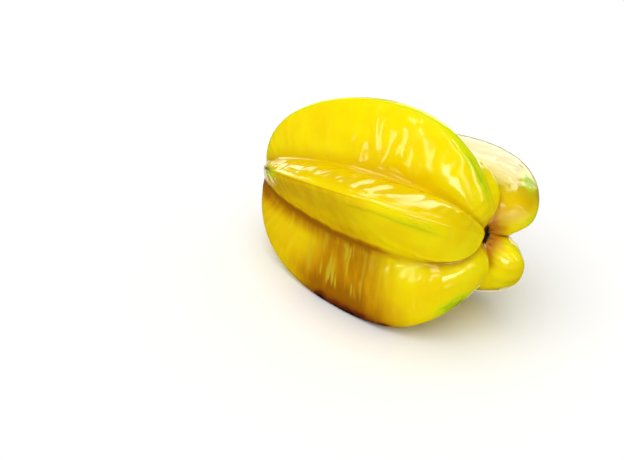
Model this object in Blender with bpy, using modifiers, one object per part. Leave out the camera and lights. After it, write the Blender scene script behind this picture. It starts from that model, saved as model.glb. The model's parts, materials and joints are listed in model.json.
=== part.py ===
"""Whole star fruit (carambola) lying on two of its five ribs.

The fruit grew as one piece and is one lofted body. Each rib has a crest outline and each groove
between two ribs has a groove outline, both drawn in a plane through the fruit's axis. A
cross-section runs from groove to crest to groove, five times round. On the floor of the pit at the
stem end sit the dry stub of the stalk and the five dry scales of the calyx.

Everything is drawn with the fruit's axis along +X, and is then turned as the fruit lies at rest.
"""

import math

import bmesh
import bpy
from mathutils import Matrix, Vector

MM = 0.001

# Driving dimensions, in millimetres and degrees. The drawn axis runs along +X, from the blossom tip
# at x = 0 to the stalk scar. An angle round it is 0 towards -Y and 90 towards +Z.
AXIS_LENGTH = 87.0
# A crest starts at the tip, is widest at "widest_at", turns over a shoulder that stands
# "shoulder_past" beyond the scar, and comes back down into the pit. "roundness" is 0 for a
# knife-edged crest and 1 for a round one, at mid-length and at the shoulder. "belly" is how far the
# two flanks bulge near the shoulder: the one towards the rib before, and the one towards the next.
# "groove" is the groove between this rib and the next: its angle, where it is widest and its radius.
RIBS = [
    {"angle": 79.6, "twist": 2.0, "widest_at": 58.8, "height": 45.0, "tip_rise": 24.5, "tip_reach": 31.9,
     "stem_reach": 22.6, "shoulder_past": 2.4, "shoulder_height": 9.4, "shoulder_rise": 9.4,
     "shoulder_drop": 3.6, "roundness": (0.62, 0.95), "belly": (1.0, 0.4),
     "groove": (51.5, 46.0, 27.0)},
    {"angle": 32.1, "twist": 0.0, "widest_at": 61.6, "height": 43.2, "tip_rise": 12.3, "tip_reach": 29.7,
     "stem_reach": 23.5, "shoulder_past": 2.9, "shoulder_height": 8.2, "shoulder_rise": 12.5,
     "shoulder_drop": 2.6, "roundness": (0.5, 0.95), "belly": (0.4, 0.4),
     "groove": (-11.6, 52.0, 19.9)},
    {"angle": -55.2, "twist": 0.0, "widest_at": 59.1, "height": 41.3, "tip_rise": 28.6, "tip_reach": 33.7,
     "stem_reach": 21.8, "shoulder_past": 4.9, "shoulder_height": 11.0, "shoulder_rise": 5.0,
     "shoulder_drop": 4.1, "roundness": (0.62, 0.95), "belly": (0.5, 0.5),
     "groove": (-87.6, 52.0, 20.4)},
    {"angle": -119.9, "twist": 0.0, "widest_at": 67.2, "height": 45.0, "tip_rise": 22.6, "tip_reach": 31.1,
     "stem_reach": 27.7, "shoulder_past": 12.9, "shoulder_height": 12.0, "shoulder_rise": 9.6,
     "shoulder_drop": 6.5, "roundness": (0.6, 0.95), "belly": (0.5, 0.5),
     "groove": (-157.5, 52.0, 19.9)},
    {"angle": 164.8, "twist": 0.0, "widest_at": 64.0, "height": 43.7, "tip_rise": 22.6, "tip_reach": 31.1,
     "stem_reach": 26.7, "shoulder_past": 12.4, "shoulder_height": 12.1, "shoulder_rise": 12.5,
     "shoulder_drop": 5.0, "roundness": (0.62, 0.95), "belly": (0.5, 0.4),
     "groove": (122.2, 52.0, 19.5)},
]
# The grooves' outlines are alike. Each swells past the scar by its share of its neighbours' shoulders.
GROOVE_TIP_RISE = 11.7
GROOVE_TIP_REACH = 20.2
GROOVE_STEM_REACH = 26.6
GROOVE_PIT_RISE = 12.8
GROOVE_PAST = 0.9
# The pit's floor is a small round flat with a dimple in it.
FLOOR_RADIUS = 3.4
FLOOR_LEAN = 0.4
FLOOR_RISE = 0.6
DIMPLE = 0.1
# Flank shape: the power that hollows it, its bulge at mid-length, and how tightly neighbours may close.
HOLLOW = 1.15
MID_BELLY = 0.08
WEDGE_FIRMNESS = 6
STEEPEN = 1.7
# Where along the outlines the crests start to round off, over what share, and how gently; the same
# for the bulging of the flanks.
ROUNDING = (0.45, 0.4, 1.5)
BULGING = (0.52, 0.26, 2.0)

STATIONS = 24
END_CROWDING = 0.08
HALF_RIB_STEPS = 5
OUTLINE_SAMPLES = 60

# Dry stub of the stalk, and the calyx scales, one in each groove.
STUB_RADIUS = 1.0
STUB_HEIGHT = 0.9
STUB_TAPER = 0.8
STUB_BEVEL = 0.2
SCALE_DISTANCE = 2.1
SCALE_LENGTH = 1.6
SCALE_WIDTH = 1.75
SCALE_THICKNESS = 0.4
SCALE_LIFT = 16.0
SCALE_HEIGHT = 0.52
GAP = 0.3

# How the fruit lies at rest, and how deep its weight presses a flat into the two crests it lies on.
REST_ROLL = 4.31
REST_PITCH = -7.63
PRESSED_FLAT = 0.4

SKIN_YELLOW = (0.86, 0.66, 0.02, 1.0)
DRY_BROWN = (0.035, 0.018, 0.010, 1.0)
DRY_BLACK = (0.016, 0.010, 0.007, 1.0)


def bezier(knots, t):
    """Point at t on the cubic from the first knot to the last, by way of two handles."""
    a, b, c, d = knots
    s = 1.0 - t
    return a * s ** 3 + b * 3 * t * s * s + c * 3 * t * t * s + d * t ** 3


def share_at(station):
    """How far along its outline a station lies, from 0 to 1. Stations crowd towards both ends."""
    even = station / STATIONS
    return even - END_CROWDING * math.sin(2 * math.pi * even)


def ease(share, start, span, power):
    """Rises from 0 at start to 1 at start + span."""
    return min(1.0, max(0.0, (share - start) / span)) ** power


def resample(pieces):
    """One point for each station along a chain of cubics, placed by its length."""
    steps = range(OUTLINE_SAMPLES)
    fine = [bezier(knots, i / OUTLINE_SAMPLES) for knots in pieces for i in steps] + [pieces[-1][3]]
    lengths = [0.0]
    for a, b in zip(fine, fine[1:]):
        lengths.append(lengths[-1] + (b - a).length)
    points, j = [], 0
    for i in range(STATIONS + 1):
        target = lengths[-1] * share_at(i)
        while j < len(fine) - 2 and lengths[j + 1] < target:
            j += 1
        part = (target - lengths[j]) / max(lengths[j + 1] - lengths[j], 1e-9)
        points.append(fine[j].lerp(fine[j + 1], min(part, 1.0)))
    return points


def crest_outline(rib):
    """(x, radius) points along a rib's crest, from the tip over the shoulder to the pit's floor."""
    tip = Vector((0.0, 0.0))
    widest = Vector((rib["widest_at"], rib["height"]))
    shoulder = Vector((AXIS_LENGTH + rib["shoulder_past"], rib["shoulder_height"]))
    floor = Vector((AXIS_LENGTH, FLOOR_RADIUS))
    rise = Vector((0.0, rib["shoulder_rise"]))
    drop = Vector((0.0, rib["shoulder_drop"]))
    return resample([
        (tip, tip + Vector((0, rib["tip_rise"])), widest - Vector((rib["tip_reach"], 0)), widest),
        (widest, widest + Vector((rib["stem_reach"], 0)), shoulder + rise, shoulder),
        (shoulder, shoulder - drop, floor + Vector((FLOOR_LEAN, FLOOR_RISE)), floor),
    ])


def groove_outline(before, after):
    """(x, radius) points along the groove between two ribs, from the tip to the pit's floor."""
    tip = Vector((0.0, 0.0))
    widest = Vector(before["groove"][1:])
    floor = Vector((AXIS_LENGTH, FLOOR_RADIUS))
    past = GROOVE_PAST * (before["shoulder_past"] + after["shoulder_past"]) / 2
    return resample([
        (tip, tip + Vector((0, GROOVE_TIP_RISE)), widest - Vector((GROOVE_TIP_REACH, 0)), widest),
        (widest, widest + Vector((GROOVE_STEM_REACH, 0)), floor + Vector((past, GROOVE_PIT_RISE)), floor),
    ])


def half_rib(groove, crest, angle, spread, roundness, belly):
    """Points from a groove up a rib's flank to its crest.

    groove and crest are (x, radius). angle is the rib's own, and spread the signed angle from it to
    the groove. The flank's distance from the rib's middle plane falls from the groove to the crest,
    and stays inside the wedge between that plane and the groove, so neighbouring ribs never cross.
    """
    a = math.radians(angle)
    up = Vector((0, -math.cos(a), math.sin(a)))
    across = Vector((0, math.sin(a), math.cos(a))) * math.copysign(1, spread)
    half = math.radians(abs(spread))
    foot = Vector((groove[0], groove[1] * math.cos(half)))
    width = groove[1] * math.sin(half)
    points = []
    for i in range(HALF_RIB_STEPS + 1):
        left = (1 - i / HALF_RIB_STEPS) ** STEEPEN
        x, radius = foot.lerp(crest, 1 - left)
        shape = (1 - roundness) * left ** HOLLOW + roundness * math.sqrt(left)
        offset = width * shape * (1 + belly * 4 * (1 - left) * left)
        if i > 0:
            wedge = radius * math.tan(half)
            offset /= (1 + (offset / wedge) ** WEDGE_FIRMNESS) ** (1 / WEDGE_FIRMNESS)
        points.append(Vector((x, 0, 0)) + up * radius + across * offset)
    return points


def section(station, crests, grooves):
    """One ring of points round the fruit."""
    ring = []
    share = share_at(station)
    swell = ease(share, *ROUNDING)
    bulge = ease(share, *BULGING)
    for k, rib in enumerate(RIBS):
        turned = rib["angle"] + rib["twist"] * (2 * share - 1)
        before = RIBS[k - 1]["groove"][0]
        after = rib["groove"][0]
        middle, shoulder = rib["roundness"]
        roundness = middle + (shoulder - middle) * swell
        belly_before, belly_after = [MID_BELLY + belly * bulge for belly in rib["belly"]]
        crest = crests[k][station]
        spread = (before - turned + 180) % 360 - 180
        ring += half_rib(grooves[k - 1][station], crest, turned, spread, roundness, belly_before)[:-1]
        spread = (after - turned + 180) % 360 - 180
        ring += half_rib(grooves[k][station], crest, turned, spread, roundness, belly_after)[:0:-1]
    return ring


def material(name, colour, roughness):
    """A plain material of one colour."""
    made = bpy.data.materials.new(name)
    made.use_nodes = True
    shader = made.node_tree.nodes["Principled BSDF"]
    shader.inputs["Base Color"].default_value = colour
    shader.inputs["Roughness"].default_value = roughness
    shader.inputs["Metallic"].default_value = 0.0
    return made


def add_object(name, bm, finish, collection):
    """Turn a bmesh, drawn in metres, into a smooth object in the part's collection."""
    bmesh.ops.recalc_face_normals(bm, faces=bm.faces)
    mesh = bpy.data.meshes.new(name)
    bm.to_mesh(mesh)
    bm.free()
    mesh.shade_smooth()
    mesh.materials.append(finish)
    made = bpy.data.objects.new(name, mesh)
    collection.objects.link(made)
    return made


def fruit_body(collection):
    """The lofted cage of the fruit, smoothed."""
    crests = [crest_outline(rib) for rib in RIBS]
    grooves = [groove_outline(rib, RIBS[(k + 1) % len(RIBS)]) for k, rib in enumerate(RIBS)]
    rings = [section(i, crests, grooves) for i in range(1, STATIONS + 1)]
    centre = Vector((AXIS_LENGTH - DIMPLE, 0, 0))
    rings.append([p.lerp(centre, 0.5) for p in rings[-1]])
    bm = bmesh.new()
    rings = [[bm.verts.new(p * MM) for p in ring] for ring in rings]
    for a, b in zip(rings, rings[1:]):
        for i in range(len(a)):
            j = (i + 1) % len(a)
            bm.faces.new((a[i], a[j], b[j], b[i]))
    for ring, end in ((rings[0], Vector()), (rings[-1], centre)):
        pole = bm.verts.new(end * MM)
        for i in range(len(ring)):
            bm.faces.new((ring[i], ring[(i + 1) % len(ring)], pole))
    fruit = add_object("fruit", bm, material("skin", SKIN_YELLOW, 0.25), collection)
    smooth = fruit.modifiers.new("smooth", "SUBSURF")
    smooth.levels = smooth.render_levels = 1
    return fruit


def stalk_stub(collection):
    """The dry, broken end of the stalk, standing in the middle of the pit's floor."""
    bm = bmesh.new()
    bmesh.ops.create_cone(bm, cap_ends=True, segments=14, radius1=STUB_RADIUS * MM,
                          radius2=STUB_RADIUS * STUB_TAPER * MM, depth=STUB_HEIGHT * MM)
    top = [f for f in bm.faces if f.normal.z > 0.9]
    rim = list(top[0].edges)
    bmesh.ops.bevel(bm, geom=rim, offset=STUB_BEVEL * MM, segments=2, affect="EDGES")
    base = AXIS_LENGTH + GAP + STUB_HEIGHT / 2
    bm.transform(Matrix.Translation((base * MM, 0, 0)) @ Matrix.Rotation(math.radians(90), 4, "Y"))
    return add_object("stalk_stub", bm, material("dry_stalk", DRY_BROWN, 0.8), collection)


def calyx_scale(number, angle, finish, collection):
    """A dry, leaf-shaped scale lying on the pit's floor, lifted a little at its outer end."""
    bm = bmesh.new()
    bmesh.ops.create_uvsphere(bm, u_segments=12, v_segments=8, radius=0.5 * MM)
    bm.transform(Matrix.Diagonal((SCALE_THICKNESS, SCALE_WIDTH, SCALE_LENGTH, 1)))
    lift = Matrix.Rotation(math.radians(SCALE_LIFT), 4, "Y")
    out = Matrix.Translation(Vector((AXIS_LENGTH + SCALE_HEIGHT, 0, SCALE_DISTANCE)) * MM)
    bm.transform(Matrix.Rotation(math.radians(90 - angle), 4, "X") @ out @ lift)
    return add_object(f"calyx_scale_{number}", bm, finish, collection)


def lie_down(fruit, others):
    """Turn every piece to the resting pose, stand it on z = 0 and press the flats into the crests."""
    pitch = Matrix.Rotation(math.radians(REST_PITCH), 4, "Y")
    rest = pitch @ Matrix.Rotation(math.radians(REST_ROLL), 4, "X")
    evaluated = fruit.evaluated_get(bpy.context.evaluated_depsgraph_get())
    fruit.data = bpy.data.meshes.new_from_object(evaluated)
    fruit.modifiers.clear()
    fruit.data.transform(rest)
    corners = [v.co for v in fruit.data.vertices]
    low = Vector([min(c[i] for c in corners) for i in range(3)])
    high = Vector([max(c[i] for c in corners) for i in range(3)])
    place = Vector((-(low.x + high.x) / 2, -(low.y + high.y) / 2, -low.z - PRESSED_FLAT * MM))
    fruit.data.transform(Matrix.Translation(place))
    for vertex in fruit.data.vertices:
        vertex.co.z = max(vertex.co.z, 0.0)
    for piece in others:
        piece.data.transform(Matrix.Translation(place) @ rest)


def main():
    for obj in list(bpy.data.objects):
        bpy.data.objects.remove(obj)
    collection = bpy.data.collections.new("star_fruit")
    bpy.context.scene.collection.children.link(collection)
    fruit = fruit_body(collection)
    dry = material("dry_calyx", DRY_BLACK, 0.85)
    others = [stalk_stub(collection)]
    others += [calyx_scale(k + 1, rib["groove"][0], dry, collection) for k, rib in enumerate(RIBS)]
    lie_down(fruit, others)


main()
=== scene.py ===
import json
import math

import bpy
import numpy as np
from mathutils import Matrix, Vector, kdtree, noise

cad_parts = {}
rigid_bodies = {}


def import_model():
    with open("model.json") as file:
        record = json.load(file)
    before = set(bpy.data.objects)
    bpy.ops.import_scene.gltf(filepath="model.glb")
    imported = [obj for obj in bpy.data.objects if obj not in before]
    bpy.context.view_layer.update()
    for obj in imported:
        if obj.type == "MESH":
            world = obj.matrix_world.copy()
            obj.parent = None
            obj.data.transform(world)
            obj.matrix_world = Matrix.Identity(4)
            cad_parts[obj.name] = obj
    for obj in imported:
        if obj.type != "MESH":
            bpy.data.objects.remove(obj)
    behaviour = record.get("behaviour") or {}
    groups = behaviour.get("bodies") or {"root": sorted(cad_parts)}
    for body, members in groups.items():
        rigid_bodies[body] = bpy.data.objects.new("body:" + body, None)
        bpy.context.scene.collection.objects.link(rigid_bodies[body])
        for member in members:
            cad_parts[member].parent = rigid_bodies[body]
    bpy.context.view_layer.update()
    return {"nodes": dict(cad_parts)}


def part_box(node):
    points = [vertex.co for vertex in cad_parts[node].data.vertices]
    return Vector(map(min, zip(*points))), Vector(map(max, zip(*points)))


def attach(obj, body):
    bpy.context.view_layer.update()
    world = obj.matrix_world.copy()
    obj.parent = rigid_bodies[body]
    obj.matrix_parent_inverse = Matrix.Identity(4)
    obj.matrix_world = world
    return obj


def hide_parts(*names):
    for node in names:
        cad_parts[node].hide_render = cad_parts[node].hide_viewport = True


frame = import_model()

mm = 0.001

# how the fruit lies: its own axis runs from the blossom tip along +X, then it is rolled and pitched
# angles in degrees, lengths in millimetres
fruitPose = {"roll": 4.31, "pitch": -7.63, "axisLength": 87.0, "stubFoot": 0.3, "stubHeight": 0.9}
# ribs 0 to 4 are the top, front, lower front, lower back and upper back one, each followed by its groove
# side 1 is a rib's flank towards the next rib, and -1 the one towards the rib before
# angles round the axis, 0 towards -Y and 90 towards +Z
ribAngles = [79.6, 32.1, -55.2, -119.9, 164.8]
ribTwists = [2.0, 0.0, 0.0, 0.0, 0.0]
grooveAngles = [51.5, -11.6, -87.6, -157.5, 122.2]
ribCentre = 55.0         # where the ribs fan out from, in millimetres from the tip


# helpers

def deselectAll():
    bpy.ops.object.select_all(action="DESELECT")


def pickOnly(piece):
    deselectAll()
    piece.select_set(True)
    bpy.context.view_layer.objects.active = piece


def applyAll(piece):
    pickOnly(piece)
    for modifier in list(piece.modifiers):
        bpy.ops.object.modifier_apply(modifier=modifier.name)


def readPoints(mesh):
    flat = np.zeros(len(mesh.vertices) * 3, np.float32)
    mesh.vertices.foreach_get("co", flat)
    return flat.reshape(-1, 3).astype(float)


def readNormals(mesh):
    flat = np.zeros(len(mesh.vertices) * 3, np.float32)
    mesh.vertex_normals.foreach_get("vector", flat)
    return flat.reshape(-1, 3).astype(float)


def storeValue(mesh, name, values):
    attribute = mesh.attributes.new(name, "FLOAT", "POINT")
    attribute.data.foreach_set("value", np.ascontiguousarray(values, np.float32))


def storeVector(mesh, name, values):
    attribute = mesh.attributes.new(name, "FLOAT_VECTOR", "POINT")
    attribute.data.foreach_set("vector", np.ascontiguousarray(values, np.float32).ravel())


def fade(value, low, high):      # 0 below low, 1 above high; runs down when low is above high
    share = np.clip((value - low) / (high - low), 0.0, 1.0)
    return share * share * (3 - 2 * share)


def hump(value, middle, width):
    return np.exp(-((value - middle) / width) ** 2)


def lieMatrix():
    pitch = Matrix.Rotation(math.radians(fruitPose["pitch"]), 4, "Y")
    return pitch @ Matrix.Rotation(math.radians(fruitPose["roll"]), 4, "X")


def fruitPlace():
    low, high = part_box("stalk_stub")
    reach = fruitPose["axisLength"] + fruitPose["stubFoot"] + fruitPose["stubHeight"] / 2
    return (low + high) / 2 - lieMatrix() @ Vector((reach * mm, 0, 0))


# the fruit's skin: mesh, then where each point lies on it

# points closer than merge, in metres, are one; angles in degrees
bodyMesh = {"merge": 0.00001, "flatAngle": 40, "shapeAngle": 60, "smoothing": 2}


def fruitBody():
    look = bodyMesh
    deselectAll()
    piece = bpy.data.objects.new("ripeFruit", frame["nodes"]["fruit"].data.copy())
    bpy.context.scene.collection.objects.link(piece)
    piece.data.materials.clear()
    pickOnly(piece)
    bpy.ops.object.mode_set(mode="EDIT")
    bpy.ops.mesh.select_all(action="SELECT")
    bpy.ops.mesh.remove_doubles(threshold=look["merge"])
    bpy.ops.mesh.tris_convert_to_quads(face_threshold=math.radians(look["flatAngle"]),
                                       shape_threshold=math.radians(look["shapeAngle"]))
    bpy.ops.object.mode_set(mode="OBJECT")
    smooth = piece.modifiers.new("smooth", "SUBSURF")
    smooth.levels = smooth.render_levels = look["smoothing"]
    applyAll(piece)
    bpy.ops.object.shade_smooth()
    return piece


# crests and grooves are found as lines along the ribs; angles in degrees, lengths in millimetres
lineSearch = {"slices": 90, "smoothing": 3, "between": 6,
              "crestAngle": 8, "grooveAngle": 6, "noGroove": 99.0}
# between first and last the threads of the skin run square to the axis, and past them they fan
threadFan = {"first": 32.0, "last": 66.0, "radius": 30}


def lineAlong(own, reach, along, near, outermost):
    slices = lineSearch["slices"]
    points = []
    for i in range(slices):
        inside = np.flatnonzero(near & (along >= i / slices) & (along < (i + 1) / slices))
        if len(inside):
            order = np.argsort(reach[inside])
            points.append(own[inside[order[-1 if outermost else 0]]])
    points = np.array(points)
    for _ in range(lineSearch["smoothing"]):
        points[1:-1] = (points[:-2] + 2 * points[1:-1] + points[2:]) / 4
    return points


def distanceTo(line, own, members):
    steps = lineSearch["between"]
    dense = [a + (b - a) * t / steps for a, b in zip(line, line[1:]) for t in range(steps)] + [line[-1]]
    tree = kdtree.KDTree(len(dense))
    for i, point in enumerate(dense):
        tree.insert(Vector(point), i)
    tree.balance()
    return np.array([tree.find(Vector(own[i]))[2] for i in members])


def measureSkin(mesh):           # all in millimetres, in the fruit's own frame
    own = (readPoints(mesh) - np.array(fruitPlace())) @ np.array(lieMatrix().to_3x3()) / mm
    radius = np.hypot(own[:, 1], own[:, 2])
    angle = np.degrees(np.arctan2(own[:, 2], -own[:, 1]))
    along = 1 - np.arctan2(radius, own[:, 0] - ribCentre) / math.pi      # 0 at the tip, 1 in the pit
    reach = np.hypot(radius, own[:, 0] - ribCentre)
    rib = np.zeros(len(own), int)
    for k in range(5):
        first = grooveAngles[k - 1]
        rib[((first - angle) % 360) < (first - grooveAngles[k]) % 360] = k
    crestGap, side = np.zeros(len(own)), np.zeros(len(own))
    grooveGap = np.full(len(own), lineSearch["noGroove"])
    for k in range(5):
        members = np.flatnonzero(rib == k)
        offset = (angle - ribAngles[k] - ribTwists[k] * (2 * along - 1) + 180) % 360 - 180
        nearCrest = (np.abs(offset) < lineSearch["crestAngle"]) & (rib == k)
        crest = lineAlong(own, reach, along, nearCrest, True)
        crestGap[members] = distanceTo(crest, own, members)
        side[members] = -np.sign(offset[members])
    for k in range(5):
        offset = (angle - grooveAngles[k] + 180) % 360 - 180
        groove = lineAlong(own, reach, along, np.abs(offset) < lineSearch["grooveAngle"], False)
        members = np.flatnonzero((rib == k) | (rib == (k + 1) % 5))
        grooveGap[members] = np.minimum(grooveGap[members], distanceTo(groove, own, members))
    first, last, fanRadius = threadFan["first"], threadFan["last"], threadFan["radius"]
    run = own[:, 0].copy()
    tipSide, stemSide = own[:, 0] < first, own[:, 0] > last
    run[tipSide] = first - fanRadius * np.arctan2(first - own[tipSide, 0], radius[tipSide])
    run[stemSide] = last + fanRadius * np.arctan2(own[stemSide, 0] - last, radius[stemSide])
    stemGap = np.hypot(radius, own[:, 0] - fruitPose["axisLength"])
    tipGap = np.linalg.norm(own, axis=1)
    return {"own": own, "angle": angle, "along": along, "rib": rib, "side": side, "run": run,
            "crestGap": crestGap, "grooveGap": grooveGap, "stemGap": stemGap, "tipGap": tipGap}


def flankOf(skin, rib, side):
    return (skin["rib"] == rib) & (skin["side"] == side)


# gentle unevenness of the skin, in millimetres: ripples run from the grooves up to the crests
# each pair says where it starts and where it is full: along the top rib (half as strong before) and along
# the front rib, in from crests and grooves, away from the stem, and up from the floor
skinWaves = {"rippleHeight": 0.50, "rippleStep": 3.1, "rippleRun": 8.0,
             "swellHeight": 0.28, "swellStep": 16.0,
             "dimpleHeight": 0.035, "dimpleStep": 2.6,
             "topHalf": (0.36, 0.50), "frontStem": (0.88, 0.76),
             "edges": (0.3, 3.0), "stem": (5.0, 14.0), "floor": (0.2, 6.0)}
# how strongly each flank is rippled, by rib and side, and how far its ripples lean along the rib
rippleShare = {(0, 1): 1.0, (1, -1): 1.1, (1, 1): 0.45, (2, -1): 0.5,
               (4, 1): 0.3, (3, 1): 0.3, (3, -1): 0.4, "others": 0.6}
rippleLean = {(1, -1): 0.8}
swellShare = {4: 0.4, 1: 0.6}
# flanks that bulge or are slimmer:
# rib, side, height, rise from the crest, fall to the groove, from and to along
shoulders = [
    (1, -1, 1.6, 3.7, 9.0, 0.14, 0.92),
    (0, -1, -3.4, 3.6, 10.0, 0.36, 0.95),
    (4, -1, -1.2, 3.5, 4.0, 0.74, 1.08),
    (3, 1, -1.0, 3.5, 4.0, 0.74, 1.08),
]
# along goes from 0 to 1 over about this many millimetres
alongLength = 110
# flatter places on the flanks: rib, side, along, distance from the crest, radius, depth
flatSpots = [
    (0, 1, 0.705, 9.5, 3.6, 0.24),
    (0, 1, 0.745, 9.2, 5.8, 0.46),
    (0, 1, 0.775, 8.8, 4.4, 0.20),
]


def rippleSkin(mesh, skin):
    w = skinWaves
    points, normals = readPoints(mesh), readNormals(mesh)
    lift = np.zeros(len(points))
    for i, own in enumerate(skin["own"]):
        flank = (int(skin["rib"][i]), int(skin["side"][i]))
        gap = skin["crestGap"][i]
        run = (skin["run"][i] - gap * rippleLean.get(flank, 0.0)) / w["rippleStep"]
        seed = 9.0 * flank[0] + 4.0 * flank[1]
        share = rippleShare.get(flank, rippleShare["others"])
        ripple = noise.noise(Vector((run, gap / w["rippleRun"], seed))) * share
        swell = noise.noise(Vector(own) / w["swellStep"]) * swellShare.get(flank[0], 1.0)
        dimple = noise.noise(Vector(own) / w["dimpleStep"])
        lift[i] = ripple * w["rippleHeight"] + swell * w["swellHeight"] + dimple * w["dimpleHeight"]
    lift *= np.where(skin["rib"] == 0, 0.5 + 0.5 * fade(skin["along"], *w["topHalf"]), 1.0)
    lift *= np.where(skin["rib"] == 1, fade(skin["along"], *w["frontStem"]), 1.0)
    calm = fade(skin["crestGap"], *w["edges"]) * fade(skin["grooveGap"], *w["edges"])
    calm *= fade(skin["stemGap"], *w["stem"]) * fade(points[:, 2] / mm, *w["floor"])
    for rib, side, along, gap, reach, depth in flatSpots:
        miss = np.hypot((skin["along"] - along) * alongLength, skin["crestGap"] - gap)
        middle = skin["own"][np.argmin(np.where(flankOf(skin, rib, side), miss, np.inf))]
        away = np.linalg.norm(skin["own"] - middle, axis=1)
        lift = lift * fade(away, reach * 0.9, reach * 2.0) - depth * fade(away, reach * 1.5, 0.0)
    for rib, side, height, rise, fall, first, last in shoulders:
        bulge = height * (1 - np.exp(-(skin["crestGap"] / rise) ** 1.5))
        bulge *= fade(skin["grooveGap"], 0.5, fall)
        bulge *= fade(skin["along"], first, first + 0.16) * fade(skin["along"], last, last - 0.12)
        lift += np.where(flankOf(skin, rib, side), bulge, 0.0)
    points += normals * (lift * calm * mm)[:, None]
    mesh.vertices.foreach_set("co", points.astype(np.float32).ravel())
    mesh.update()


# marks on the skin: rib, side (0 for both), middle and width along the rib (0 at the tip, 1 in the pit),
# distance from the crest and width across in millimetres, strength
greenMarks = [
    (0, 1, 0.77, 0.12, 1.2, 2.0, 0.95),
    (0, 1, 0.56, 0.16, 0.2, 1.5, 0.75),
    (0, 1, 0.27, 0.13, 0.0, 1.8, 0.65),
    (0, -1, 0.68, 0.10, 1.0, 2.6, 0.8),
    (0, 0, 0.10, 0.08, 0.0, 5.0, 0.30),
    (1, 1, 0.67, 0.08, 3.6, 2.6, 0.5),
    (1, 1, 0.12, 0.07, 0.8, 2.5, 0.9),
    (2, -1, 0.775, 0.055, 2.0, 3.0, 1.3),
    (2, -1, 0.25, 0.14, 2.0, 6.0, 0.24),
    (3, 1, 0.93, 0.05, 2.5, 1.6, 0.5),
    (3, 0, 0.70, 0.10, 0.0, 2.0, 0.6),
    (4, 1, 0.815, 0.032, 6.6, 3.4, 1.4),
    (4, 1, 0.917, 0.030, 0.8, 2.6, 0.5),
    (4, 0, 0.70, 0.12, 0.0, 1.2, 0.5),
    (4, -1, 0.60, 0.10, 2.0, 3.0, 0.5),
]
brownMarks = [
    (2, -1, 0.45, 0.12, 0.2, 4.3, 1.15),
    (2, -1, 0.36, 0.025, 0.4, 4.2, 1.25),
    (2, -1, 0.56, 0.03, 0.8, 1.8, 0.9),
    (2, -1, 0.79, 0.03, 0.3, 0.5, 0.6),
    (2, 1, 0.43, 0.12, 0.0, 2.0, 0.7),
    (1, 0, 0.10, 0.05, 0.0, 1.0, 0.6),
    (3, 0, 0.52, 0.06, 0.0, 0.8, 0.5),
    (4, 1, 0.60, 0.05, 0.0, 0.7, 0.6),
    (0, 0, 0.50, 0.05, 0.0, 0.5, 0.25),
]
# where the skin is less glossy
satinMarks = [
    (2, -1, 0.705, 0.035, 20.0, 4.5, 0.40),
    (2, -1, 0.840, 0.040, 11.5, 4.0, 0.25),
    (3, 1, 0.97, 0.04, 3.0, 3.0, 0.4),
    (4, 1, 0.815, 0.028, 6.6, 3.0, 0.8),
    (4, 1, 0.935, 0.030, 4.8, 3.4, 1.3),
]


def addMarks(skin, marks):
    total = np.zeros(len(skin["along"]))
    for rib, side, middle, width, gap, gapWidth, strength in marks:
        signed = skin["crestGap"]
        if side != 0:            # a mark that starts on one flank may reach a little over the crest
            signed = skin["crestGap"] * skin["side"] * side
        mark = hump(skin["along"], middle, width) * hump(signed, gap, gapWidth) * strength
        total = np.maximum(total, np.where(skin["rib"] == rib, mark, 0.0))
    return total


def paintedAmberShade(skin):            # painted shade in amber: darker on the lower flanks, down in the grooves and on the back ribs near the stem
    along, crest, groove = skin["along"], skin["crestGap"], skin["grooveGap"]
    lowFlank = fade(along, 0.73, 0.46) * (0.80 + 0.30 * fade(crest, 15.0, 5.0))
    lowFlank *= 1 - 0.62 * fade(along, 0.35, 0.20) * fade(groove, 2.0, 8.0)
    lowFlank = np.maximum(lowFlank, 1.00 * fade(along, 0.68, 0.48) * fade(groove, 8.0, 0.5))
    lowFlank = np.maximum(lowFlank, 0.5 * fade(along, 0.75, 0.60) * fade(groove, 5.5, 0.5))
    frontFlank = 0.47 * fade(along, 0.66, 0.40)
    frontFlank = np.maximum(frontFlank, 1.10 * fade(along, 0.66, 0.50) * fade(groove, 4.5, 0.5))
    backFlank = 0.42 * fade(along, 0.83, 0.88) * fade(crest, 0.0, 5.0)
    backRib = 0.5 * fade(along, 0.86, 0.92) * fade(groove, 5.0, 0.5)
    shade = np.where(flankOf(skin, 2, -1), lowFlank, 0.0)
    shade = np.where(flankOf(skin, 1, 1), frontFlank, shade)
    shade = np.where(flankOf(skin, 4, 1), backFlank, shade)
    return np.where(skin["rib"] == 3, backRib, shade)


def paintedFlankShade(skin):             # painted shade: a deeper yellow on the upper front flank and in the groove above it
    along = skin["along"]
    front = (0.40 + 0.45 * fade(skin["crestGap"], 0.5, 4.0)) * (0.5 + 0.5 * fade(along, 0.76, 0.60))
    top = 0.75 * fade(skin["grooveGap"], 5.0, 0.5) * fade(along, 0.76, 0.56)
    return np.where(flankOf(skin, 1, -1), front, np.where(flankOf(skin, 0, 1), top, 0.0))


def oliveAndPaintedShade(skin):             # a duller olive yellow, partly the rib's own colour and partly painted shade: most of the upper back rib, on its far flank only next to the crest
    crest = skin["crestGap"]
    dull = np.where(skin["rib"] == 4, fade(skin["along"], 0.89, 0.84) * fade(crest, 30.0, 22.0), 0.0)
    return np.where(skin["side"] > 0, dull, dull * fade(crest, 5.0, 0.0))


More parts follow.
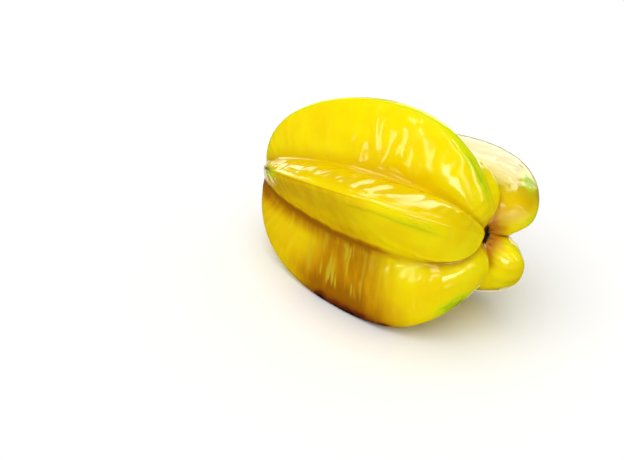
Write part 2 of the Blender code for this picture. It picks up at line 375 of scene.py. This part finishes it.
def paintSkin(mesh, skin):
    along, crest, groove = skin["along"], skin["crestGap"], skin["grooveGap"]
    for name in ("crestGap", "grooveGap", "stemGap", "tipGap"):
        storeValue(mesh, name, skin[name])
    for name, marks in (("greenMark", greenMarks), ("brownMark", brownMarks), ("satin", satinMarks)):
        storeValue(mesh, name, addMarks(skin, marks))
    for name, shade in (("paintedAmberShade", paintedAmberShade), ("paintedFlankShade", paintedFlankShade), ("oliveAndPaintedShade", oliveAndPaintedShade)):
        storeValue(mesh, name, shade(skin))
    storeValue(mesh, "turn", np.radians(skin["angle"]))
    # the orange glow round the stem is weaker on the three front ribs
    storeValue(mesh, "haloShare", np.where(skin["rib"] >= 3, 1.0, 0.45))
    # small dents on the upper back rib
    dent = fade(along, 0.62, 0.72) * fade(along, 0.90, 0.85) * fade(crest, 2.0, 6.0)
    storeValue(mesh, "dentZone", np.where(flankOf(skin, 4, 1), dent, 0.0))
    # painted reflection: pale combed streaks on the lower front flank
    reflectionStreaks = hump(along, 0.39, 0.13) * fade(crest, 7.0, 11.0) * fade(groove, 0.5, 4.0)
    storeValue(mesh, "reflectionStreakZone", np.where(flankOf(skin, 2, -1), reflectionStreaks, 0.0))
    # the fold and the sharp line of the crest on the front rib; the other crests are softer
    fold = fade(along, 0.40, 0.55) * fade(along, 0.80, 0.68)
    storeValue(mesh, "foldLine", np.where(flankOf(skin, 1, 1), fold, 0.0))
    sharp = np.where(skin["rib"] == 1, fade(along, 0.80, 0.66), 0.25 * fade(along, 0.7, 0.5))
    storeValue(mesh, "thinCrest", sharp)
    # the groove between the top and front ribs has less painted amber shade
    light = flankOf(skin, 0, 1) | flankOf(skin, 1, -1)
    storeValue(mesh, "grooveTone", np.where(light, 0.35, 1.0))
    # coordinates that follow the skin: along the rib, away from the crest, and one value for each rib
    flow = np.stack([skin["run"], crest * skin["side"], skin["rib"] * 31.0], axis=1)
    storeVector(mesh, "flow", flow)


# materials: short ways to add and join nodes

class Nodes:
    def __init__(self, name):
        self.material = bpy.data.materials.new(name)
        self.material.use_nodes = True
        self.tree = self.material.node_tree
        self.shader = self.tree.nodes["Principled BSDF"]

    def add(self, kind, links=None, **values):
        node = self.tree.nodes.new("ShaderNode" + kind)
        for key, value in values.items():
            setattr(node, key, value)
        for socket, source in (links or {}).items():
            self.feed(node.inputs[socket], source)
        return node

    def feed(self, socket, source):
        if isinstance(source, bpy.types.NodeSocket):
            self.tree.links.new(source, socket)
        elif isinstance(source, (tuple, list)) and socket.type == "RGBA" and len(source) == 3:
            socket.default_value = (*source, 1.0)
        else:
            socket.default_value = source

    def attribute(self, name, output="Fac"):
        return self.add("Attribute", attribute_name=name).outputs[output]

    def noise(self, vector, scale, detail=2.0, rough=0.5):
        links = {"Vector": vector, "Scale": scale, "Detail": detail, "Roughness": rough}
        return self.add("TexNoise", links).outputs["Fac"]

    def cells(self, vector, scale):
        return self.add("TexVoronoi", {"Vector": vector, "Scale": scale}).outputs["Distance"]

    def stretch(self, vector, scale, place=(0, 0, 0)):
        links = {"Vector": vector, "Scale": scale, "Location": place}
        return self.add("Mapping", links).outputs["Vector"]

    def span(self, value, low, high, toLow=0.0, toHigh=1.0):
        links = {"Value": value, "From Min": low, "From Max": high, "To Min": toLow, "To Max": toHigh}
        return self.add("MapRange", links, interpolation_type="SMOOTHSTEP").outputs["Result"]

    def math(self, operation, first, second=0.0):
        return self.add("Math", {0: first, 1: second}, operation=operation).outputs["Value"]

    def blend(self, factor, first, second):
        node = self.add("Mix", data_type="RGBA", clamp_factor=True)
        self.feed(node.inputs["Factor"], factor)
        self.feed(node.inputs[6], first)
        self.feed(node.inputs[7], second)
        return node.outputs[2]

    def bump(self, height, distance, strength=1.0, below=None):
        links = {"Height": height, "Distance": distance, "Strength": strength}
        if below is not None:
            links["Normal"] = below
        return self.add("Bump", links).outputs["Normal"]


skinLook = {"yellow": (0.92, 0.77, 0.0008), "deepYellow": (0.89, 0.67, 0.0008), "pale": (0.95, 0.84, 0.05),
            "shadedYellow": (0.72, 0.49, 0.0008), "amber": (0.55, 0.26, 0.0008), "darkAmber": (0.31, 0.112, 0.0006),
            "green": (0.66, 0.74, 0.004), "leafGreen": (0.36, 0.54, 0.005), "halo": (0.60, 0.21, 0.0008),
            "rust": (0.24, 0.060, 0.0006), "bruise": (0.12, 0.016, 0.0006), "brown": (0.022, 0.004, 0.001),
            "reflectionStreaks": (0.56, 0.42, 0.016), "dull": (0.50, 0.38, 0.010), "dent": (0.38, 0.30, 0.006),
            "fold": (0.42, 0.40, 0.004), "speck": (0.22, 0.10, 0.01),
            "roughness": 0.10, "ior": 1.40, "glossTint": (1.0, 0.95, 0.8),
            "subsurface": 0.2, "subsurfaceColour": (1.0, 0.55, 0.06), "subsurfaceSize": 0.0035}


def skinMaterial():
    n = Nodes("waxySkin")
    look = skinLook
    place = n.add("TexCoord").outputs["Object"]
    flow = n.attribute("flow", "Vector")
    green, brown = n.attribute("greenMark"), n.attribute("brownMark")
    groove, crest = n.attribute("grooveGap"), n.attribute("crestGap")
    stem, tip, shade = n.attribute("stemGap"), n.attribute("tipGap"), n.attribute("paintedAmberShade")

    # yellow of two depths in soft clouds, with paler streaks from groove to crest
    clouds = n.noise(place, 60.0, 3.0)
    colour = n.blend(n.span(clouds, 0.35, 0.65), look["yellow"], look["deepYellow"])
    streaks = n.noise(n.stretch(flow, (0.36, 0.08, 1.0)), 1.0, 2.0, 0.5)
    colour = n.blend(n.span(streaks, 0.55, 0.80, 0.0, 0.30), colour, look["pale"])
    veins = n.noise(n.stretch(flow, (1.3, 0.10, 1.0), (7.0, 0, 0)), 1.0, 4.0, 0.6)
    colour = n.blend(n.span(veins, 0.55, 0.75, 0.0, 0.15), colour, look["deepYellow"])
    # painted shade: a deeper yellow on the upper front flank and beside the groove above it
    colour = n.blend(n.attribute("paintedFlankShade"), colour, look["shadedYellow"])

    # painted shade: amber down in the grooves and on the lower flanks
    uneven = n.noise(place, 140.0, 2.0)
    deep = n.math("ADD", groove, n.math("MULTIPLY", n.math("SUBTRACT", uneven, 0.5), 3.0))
    toned = n.attribute("grooveTone")
    colour = n.blend(n.math("MULTIPLY", n.span(deep, 3.0, 0.2, 0.0, 0.5), toned), colour, look["amber"])
    shadeMix = n.math("MULTIPLY", shade, n.span(streaks, 0.70, 0.40, 0.90, 1.10))
    colour = n.blend(n.span(shadeMix, 0.0, 0.9), colour, look["amber"])
    colour = n.blend(n.span(shadeMix, 0.65, 1.15, 0.0, 0.9), colour, look["darkAmber"])
    deepest = n.math("MULTIPLY", n.span(deep, 0.7, -0.4, 0.0, 0.5), toned)
    colour = n.blend(deepest, colour, look["darkAmber"])

    # painted reflection: pale combed streaks on the lower front flank; a duller olive yellow, partly its
    # own colour and partly painted shade, with small dents on the upper back rib
    combed = n.noise(n.stretch(flow, (0.60, 0.070, 1.0), (2.0, 0.3, 0)), 1.0, 1.0, 0.45)
    reflectionStreakMix = n.math("MULTIPLY", n.attribute("reflectionStreakZone"), n.span(combed, 0.54, 0.61))
    colour = n.blend(n.math("MULTIPLY", reflectionStreakMix, 0.95), colour, look["reflectionStreaks"])
    colour = n.blend(n.math("MULTIPLY", n.attribute("oliveAndPaintedShade"), 0.8), colour, look["dull"])
    dents = n.span(n.cells(n.stretch(place, (140.0, 140.0, 140.0)), 1.0), 0.26, 0.15)
    few = n.span(n.noise(place, 170.0, 1.0), 0.48, 0.56)
    dents = n.math("MULTIPLY", n.math("MULTIPLY", dents, few), n.attribute("dentZone"))
    colour = n.blend(dents, colour, look["dent"])

    # green along the crests
    leafy = n.noise(n.stretch(flow, (0.35, 0.8, 1.0)), 1.0, 3.0, 0.6)
    greenMix = n.math("MULTIPLY", green, n.span(leafy, 0.30, 0.60, 0.65, 1.25))
    colour = n.blend(n.span(greenMix, 0.08, 0.85), colour, look["green"])
    colour = n.blend(n.span(greenMix, 0.75, 1.15, 0.0, 0.7), colour, look["leafGreen"])

    # a fold just under the crest of the front rib
    foldHere = n.attribute("foldLine")
    drift = n.noise(n.stretch(flow, (0.12, 0, 1)), 1.0, 2.0)
    wander = n.math("MULTIPLY", n.math("SUBTRACT", drift, 0.5), 2.2)
    foldGap = n.math("ABSOLUTE", n.math("SUBTRACT", n.math("ADD", crest, wander), 4.1))
    foldDeep = n.math("MULTIPLY", foldHere, n.span(foldGap, 1.1, 0.0))
    colour = n.blend(n.math("MULTIPLY", foldDeep, 0.3), colour, look["fold"])

    # orange glow, then fine dark cracks round the stem
    glow = n.math("ADD", stem, n.math("MULTIPLY", n.math("SUBTRACT", uneven, 0.5), 6.0))
    haloMix = n.math("MULTIPLY", n.span(glow, 9.5, 5.0, 0.0, 0.95), n.attribute("haloShare"))
    colour = n.blend(haloMix, colour, look["halo"])
    turn = n.attribute("turn")
    spin = n.add("CombineXYZ", {"X": n.math("COSINE", turn), "Y": n.math("SINE", turn),
                                "Z": n.math("MULTIPLY", stem, 0.06)}).outputs["Vector"]
    rays = n.math("ABSOLUTE", n.math("SUBTRACT", n.noise(spin, 3.4, 2.0, 0.5), 0.5))
    cracks = n.math("MULTIPLY", n.span(rays, 0.020, 0.004), n.span(stem, 6.2, 3.6, 0.0, 0.85))
    colour = n.blend(cracks, colour, look["brown"])
    colour = n.blend(n.span(glow, 4.4, 3.0, 0.0, 0.95), colour, look["brown"])

    # bruised brown edges and the blossom scar
    worn = n.noise(place, 420.0, 4.0, 0.65)
    brownMix = n.math("ADD", brown, n.math("MULTIPLY", n.math("SUBTRACT", worn, 0.5), 0.9))
    brownMix = n.math("MULTIPLY", brownMix, n.span(brown, 0.02, 0.3))
    colour = n.blend(n.span(brown, 0.05, 0.6, 0.0, 0.85), colour, look["rust"])
    colour = n.blend(n.span(brownMix, 0.40, 0.80, 0.0, 0.9), colour, look["bruise"])
    colour = n.blend(n.span(brownMix, 0.80, 1.15), colour, look["brown"])
    colour = n.blend(n.span(tip, 4.5, 2.0), colour, look["brown"])

    # specks, thicker near the grooves
    spots = n.cells(place, 330.0)
    rare = n.noise(place, 110.0, 1.0)
    dots = n.math("MULTIPLY", n.span(spots, 0.11, 0.05), n.span(rare, 0.52, 0.62))
    dotMix = n.math("MULTIPLY", dots, n.span(groove, 9.0, 1.0, 0.15, 0.7))
    colour = n.blend(dotMix, colour, look["speck"])
    n.feed(n.shader.inputs["Base Color"], colour)

    # gloss: less of it on brown and satin places, round the stem and in the dents
    shine = n.noise(n.stretch(flow, (0.5, 0.2, 1.0), (3.0, 0, 0)), 1.0, 3.0)
    rough = n.span(shine, 0.3, 0.7, look["roughness"] * 0.75, look["roughness"] * 1.5)
    rough = n.math("ADD", rough, n.math("MULTIPLY", n.span(brownMix, 0.3, 0.6), 0.12))
    rough = n.math("ADD", rough, n.math("MULTIPLY", n.attribute("satin"), 0.30))
    rough = n.math("ADD", rough, n.span(stem, 11.0, 6.0, 0.0, 0.08))
    rough = n.math("ADD", rough, n.math("MULTIPLY", dents, 0.50))
    n.feed(n.shader.inputs["Roughness"], rough)
    n.shader.inputs["IOR"].default_value = look["ior"]
    n.shader.inputs["Specular Tint"].default_value = (*look["glossTint"], 1.0)
    n.shader.inputs["Subsurface Weight"].default_value = look["subsurface"]
    n.shader.inputs["Subsurface Radius"].default_value = look["subsurfaceColour"]
    n.shader.inputs["Subsurface Scale"].default_value = look["subsurfaceSize"]

    # fine relief: threads from groove to crest, sharp crest lines, the fold, cracks at the stem and pores
    threads = n.noise(n.stretch(flow, (0.9, 0.12, 1.0)), 1.0, 2.0, 0.5)
    normal = n.bump(threads, 0.00010, 0.20)
    ridge = n.math("MULTIPLY", n.attribute("thinCrest"), n.span(crest, 0.9, 0.0))
    normal = n.bump(ridge, 0.00022, 1.0, normal)
    normal = n.bump(n.span(foldDeep, 0.0, 1.0, 1.0, 0.0), 0.00014, 1.0, normal)
    lines = n.noise(n.stretch(flow, (0.035, 1.1, 1.0), (0, 5.0, 0)), 1.0, 2.0, 0.5)
    linesHere = n.math("MULTIPLY", n.attribute("thinCrest"), n.span(crest, 6.0, 1.0))
    normal = n.bump(n.math("MULTIPLY", lines, linesHere), 0.00030, 1.0, normal)
    normal = n.bump(n.span(cracks, 0.0, 1.0, 1.0, 0.0), 0.00015, 1.0, normal)
    pores = n.noise(place, 900.0, 2.0)
    normal = n.bump(pores, 0.00002, 0.5, normal)
    pits = n.span(n.cells(place, 330.0), 0.0, 0.25)
    normal = n.bump(pits, 0.00003, 0.5, normal)
    n.feed(n.shader.inputs["Normal"], normal)
    return n.material


# stalk stub and calyx, made finer than the CAD solids they stand for; lengths in millimetres

stubShape = {"radius": 0.98, "height": 0.90, "corners": 24, "rim": 0.26, "sunk": 0.24, "waist": 0.06,
             "taper": 0.12, "grooves": 9, "grooveDepth": 0.07, "ragged": 0.16}


def fruitFrame(turn, outwards, ahead):       # local X leads away from the axis, and Z along it to the stem
    a = math.radians(turn)
    away = Vector((0, -math.cos(a), math.sin(a)))
    across = Vector((0, -math.sin(a), -math.cos(a)))
    turned = Matrix((away, across, Vector((1, 0, 0)))).transposed().to_4x4()
    spot = Vector((ahead * mm, 0, 0)) + away * outwards * mm
    return Matrix.Translation(fruitPlace()) @ lieMatrix() @ Matrix.Translation(spot) @ turned


finestMerge = 0.000001   # points closer than this, in metres, are one


def settle(piece, matrix):   # puts a finished piece in its place, within its mesh
    pickOnly(piece)
    piece.matrix_world = matrix
    bpy.ops.object.transform_apply(location=True, rotation=True, scale=True)
    bpy.ops.object.mode_set(mode="EDIT")
    bpy.ops.mesh.select_all(action="SELECT")
    bpy.ops.mesh.remove_doubles(threshold=finestMerge)
    bpy.ops.mesh.normals_make_consistent(inside=False)
    bpy.ops.object.mode_set(mode="OBJECT")
    bpy.ops.object.shade_smooth()


def selectFaces(piece, wanted):
    bpy.ops.object.mode_set(mode="OBJECT")
    for face in piece.data.polygons:
        face.select = wanted(face)
    bpy.ops.object.mode_set(mode="EDIT")


def stalkStub():
    look = stubShape
    deselectAll()
    bpy.ops.mesh.primitive_cylinder_add(vertices=look["corners"], radius=look["radius"] * mm,
                                        depth=look["height"] * mm, location=(0, 0, 0))
    piece = bpy.context.active_object
    piece.name = "driedStub"
    bpy.ops.object.mode_set(mode="EDIT")
    bpy.ops.mesh.select_mode(type="FACE")
    selectFaces(piece, lambda face: face.normal.z > 0.9)
    bpy.ops.mesh.inset(thickness=look["rim"] * mm)
    bpy.ops.mesh.extrude_region_move(TRANSFORM_OT_translate={"value": (0, 0, -look["sunk"] * mm)})
    bpy.ops.mesh.inset(thickness=look["rim"] * mm * 0.8)
    bpy.ops.transform.translate(value=(0, 0, look["sunk"] * mm * 0.5))
    wall = 0.8 * look["radius"] * mm
    selectFaces(piece, lambda face: abs(face.normal.z) < 0.2 and face.center.xy.length > wall)
    bpy.ops.mesh.subdivide(number_cuts=3)
    bpy.ops.object.mode_set(mode="OBJECT")
    # dry and shrunken: a waist, flutes up the side and a broken top
    for vertex in piece.data.vertices:
        x, y, z = vertex.co / mm
        turn, level = math.atan2(y, x), z / look["height"] + 0.5
        flute = math.cos(turn * look["grooves"] + 1.7 * math.sin(turn)) * look["grooveDepth"]
        slim = 1 - look["waist"] * math.sin(math.pi * level) - look["taper"] * level
        slim += flute * min(1.0, math.hypot(x, y))
        rough = noise.noise(Vector((x * 1.9, y * 1.9, 3.0))) * look["ragged"] * max(0.0, level - 0.5) * 2
        vertex.co = Vector((x * slim, y * slim, z + rough)) * mm
    piece.modifiers.new("smooth", "SUBSURF").levels = 2
    piece.modifiers["smooth"].render_levels = 2
    applyAll(piece)
    settle(piece, fruitFrame(0, 0, fruitPose["axisLength"] + fruitPose["stubFoot"] + look["height"] / 2))
    return piece


scaleShape = {"inner": 0.85, "outer": 2.95, "width": 1.75, "tip": 0.04, "thickness": 0.16, "foot": 0.36,
              "curl": 0.34, "cup": 0.16, "crinkle": 0.09}


def calyxScale(number):
    look = scaleShape
    length = look["outer"] - look["inner"]
    deselectAll()
    bpy.ops.mesh.primitive_grid_add(x_subdivisions=12, y_subdivisions=8, size=1.0, location=(0, 0, 0))
    piece = bpy.context.active_object
    piece.name = f"driedScale{number}"
    for vertex in piece.data.vertices:
        share, across = vertex.co.x + 0.5, vertex.co.y * 2
        wide = (0.55 + 1.1 * share * (1 - share)) * math.sqrt(max(0.0, 1 - share ** 5)) + look["tip"]
        torn = noise.noise(Vector((across * 1.4, share * 2.2, number * 7.3)))
        x = share * length * (1 + 0.10 * torn)
        y = across * wide * look["width"] * 0.5 * (1 + 0.25 * torn)
        wave = noise.noise(Vector((x * 1.7, y * 1.7, number * 3.1))) * look["crinkle"]
        z = look["curl"] * share ** 2.5 + look["cup"] * across ** 2 * share + wave * (0.3 + share)
        vertex.co = Vector((x, y, z)) * mm
    thick = piece.modifiers.new("thick", "SOLIDIFY")
    thick.thickness, thick.offset = look["thickness"] * mm, 1.0
    smooth = piece.modifiers.new("smooth", "SUBSURF")
    smooth.levels = smooth.render_levels = 1
    applyAll(piece)
    ahead = fruitPose["axisLength"] + look["foot"]
    settle(piece, fruitFrame(grooveAngles[number - 1], look["inner"], ahead))
    return piece


dryLook = {"dryStalk": {"dark": (0.004, 0.0022, 0.0015), "light": (0.05, 0.022, 0.006), "grain": 900.0},
           "dryCalyx": {"dark": (0.003, 0.002, 0.0015), "light": (0.035, 0.016, 0.005), "grain": 700.0}}


def dryMaterial(name):
    n = Nodes(name)
    look = dryLook[name]
    place = n.add("TexCoord").outputs["Object"]
    grain, across = look["grain"], look["grain"] * 2.2
    fibres = n.noise(n.stretch(place, (grain, across, across)), 1.0, 5.0, 0.65)
    colour = n.blend(n.span(fibres, 0.38, 0.68), look["dark"], look["light"])
    n.feed(n.shader.inputs["Base Color"], colour)
    n.feed(n.shader.inputs["Roughness"], n.span(fibres, 0.3, 0.7, 0.65, 0.95))
    n.feed(n.shader.inputs["Normal"], n.bump(fibres, 0.0002, 0.8))
    n.shader.inputs["Specular IOR Level"].default_value = 0.05
    return n.material


# light: a broad soft sun shades the fruit, and soft panels show only in its gloss
# azimuth 0 is towards -Y and 90 towards +X: azimuth, elevation, distance, width, height, radiance, roll
glossPanels = {
    "keyPanel": (42, 3, 0.9, 0.50, 0.37, 14.0, 0),
    "sideWindow": (-18, 0, 0.9, 0.13, 0.36, 6.5, 0),
    "midWindow": (3, 8, 0.9, 0.13, 0.50, 6.0, 0),
    "lowSpot": (-6, 36, 0.9, 0.16, 0.16, 7.0, 0),
    "rightStrip": (60, 27, 0.9, 0.11, 0.90, 5.0, 30),
    "rightStripTwo": (88, 26, 0.9, 0.10, 0.90, 7.0, 20),
    "leftWall": (234, 11, 1.6, 0.75, 0.80, 4.0, 0),
    "backLow": (189, 7, 1.6, 1.08, 0.60, 2.8, 0),
    "rimLow": (202, -27, 1.6, 1.50, 1.00, 0.8, 0),
    "lowKick": (60, -32, 0.9, 0.13, 0.13, 4.0, 0),
    "backMid": (189, 24, 1.6, 1.08, 0.43, 5.0, 0),
    "backHigh": (189, 42, 1.6, 1.08, 0.58, 6.8, 0),
    "ceiling": (204, 65, 1.3, 1.50, 0.60, 8.0, 0),
    "ceilingTop": (200, 86, 1.3, 0.50, 0.40, 4.0, 0),
}
broadSun = {"azimuth": -12, "elevation": 62, "distance": 1.5, "spread": 70, "light": 0.74}
lightsAim = (0, 0, 0.04)


def towards(azimuth, elevation):
    a, e = math.radians(azimuth), math.radians(elevation)
    return Vector((math.sin(a) * math.cos(e), -math.cos(a) * math.cos(e), math.sin(e)))


def addLight(name, kind, target, direction, distance):
    data = bpy.data.lights.new(name, kind)
    lamp = bpy.data.objects.new(name, data)
    lamp.location = target + direction * distance
    lamp.rotation_euler = direction.to_track_quat("Z", "Y").to_euler()
    lamp.visible_camera = False
    bpy.context.scene.collection.objects.link(lamp)
    return lamp


def addLights(target):
    for name, (azimuth, elevation, distance, width, height, radiance, roll) in glossPanels.items():
        lamp = addLight(name, "AREA", target, towards(azimuth, elevation), distance)
        lamp.rotation_euler.rotate_axis("Z", math.radians(roll))
        lamp.data.shape = "RECTANGLE"
        lamp.data.size, lamp.data.size_y = width, height
        lamp.data.energy = radiance * math.pi * width * height
        lamp.visible_diffuse = False
    direction = towards(broadSun["azimuth"], broadSun["elevation"])
    sun = addLight("broadSun", "SUN", target, direction, broadSun["distance"])
    sun.data.angle = math.radians(broadSun["spread"])
    sun.data.energy = broadSun["light"] * math.pi
    sun.visible_glossy = False


# a pale room: white to the eye, softer as light, and nearly dark in the gloss
stageLook = {"floorSize": 8.0, "floor": (0.93, 0.93, 0.93),
             "roomSeen": 1.0, "roomLight": 0.46, "roomGloss": 0.015}


def addStage():
    deselectAll()
    bpy.ops.mesh.primitive_plane_add(size=stageLook["floorSize"], location=(0, 0, 0))
    floor = bpy.context.active_object
    floor.name = "paleFloor"
    n = Nodes("paleFloor")
    place = n.add("TexCoord").outputs["Object"]
    tone = n.noise(place, 3.0, 2.0)
    colour = n.blend(tone, stageLook["floor"], tuple(c * 0.99 for c in stageLook["floor"]))
    n.feed(n.shader.inputs["Base Color"], colour)
    n.shader.inputs["Roughness"].default_value = 0.9
    n.shader.inputs["Specular IOR Level"].default_value = 0.0
    floor.data.materials.append(n.material)
    floor.visible_glossy = False
    world = bpy.data.worlds.new("paleRoom")
    bpy.context.scene.world = world
    world.use_nodes = True
    nodes, links = world.node_tree.nodes, world.node_tree.links
    rays = nodes.new("ShaderNodeLightPath")
    lit = nodes.new("ShaderNodeMix")
    lit.inputs["A"].default_value = stageLook["roomLight"]
    lit.inputs["B"].default_value = stageLook["roomGloss"]
    seen = nodes.new("ShaderNodeMix")
    seen.inputs["B"].default_value = stageLook["roomSeen"]
    links.new(rays.outputs["Is Glossy Ray"], lit.inputs["Factor"])
    links.new(lit.outputs["Result"], seen.inputs["A"])
    links.new(rays.outputs["Is Camera Ray"], seen.inputs["Factor"])
    links.new(seen.outputs["Result"], nodes["Background"].inputs["Strength"])
    nodes["Background"].inputs["Color"].default_value = (1.0, 1.0, 1.0, 1.0)


cameraPlace = {"location": (0.12288, -0.29133, 0.21273), "turn": (57.906, -8.743, 32.825),
               "lens": 60.0, "sensor": 36.0, "near": 0.01, "far": 20.0}


def addCamera():
    data = bpy.data.cameras.new("studioCamera")
    data.lens = cameraPlace["lens"]
    data.sensor_width = cameraPlace["sensor"]
    data.clip_start, data.clip_end = cameraPlace["near"], cameraPlace["far"]
    camera = bpy.data.objects.new("studioCamera", data)
    camera.location = cameraPlace["location"]
    camera.rotation_euler = [math.radians(t) for t in cameraPlace["turn"]]
    bpy.context.scene.collection.objects.link(camera)
    bpy.context.scene.camera = camera


# making

ripeFruit = fruitBody()
print("fruit body:", len(ripeFruit.data.polygons), "faces")
skin = measureSkin(ripeFruit.data)
rippleSkin(ripeFruit.data, skin)
paintSkin(ripeFruit.data, skin)
ripeFruit.data.materials.append(skinMaterial())
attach(ripeFruit, "root")
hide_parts("fruit")
print("skin done")

driedStub = stalkStub()
driedStub.data.materials.append(dryMaterial("dryStalk"))
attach(driedStub, "root")
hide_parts("stalk_stub")
dryCalyx = dryMaterial("dryCalyx")
for k in range(5):
    driedScale = calyxScale(k + 1)
    driedScale.data.materials.append(dryCalyx)
    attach(driedScale, "root")
    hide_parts(f"calyx_scale_{k + 1}")
print("stub and scales done")

addStage()
addLights(Vector(lightsAim))
addCamera()
bpy.context.scene.view_settings.view_transform = "Standard"
bpy.context.scene.view_settings.look = "None"
print("floor, lights and camera done")
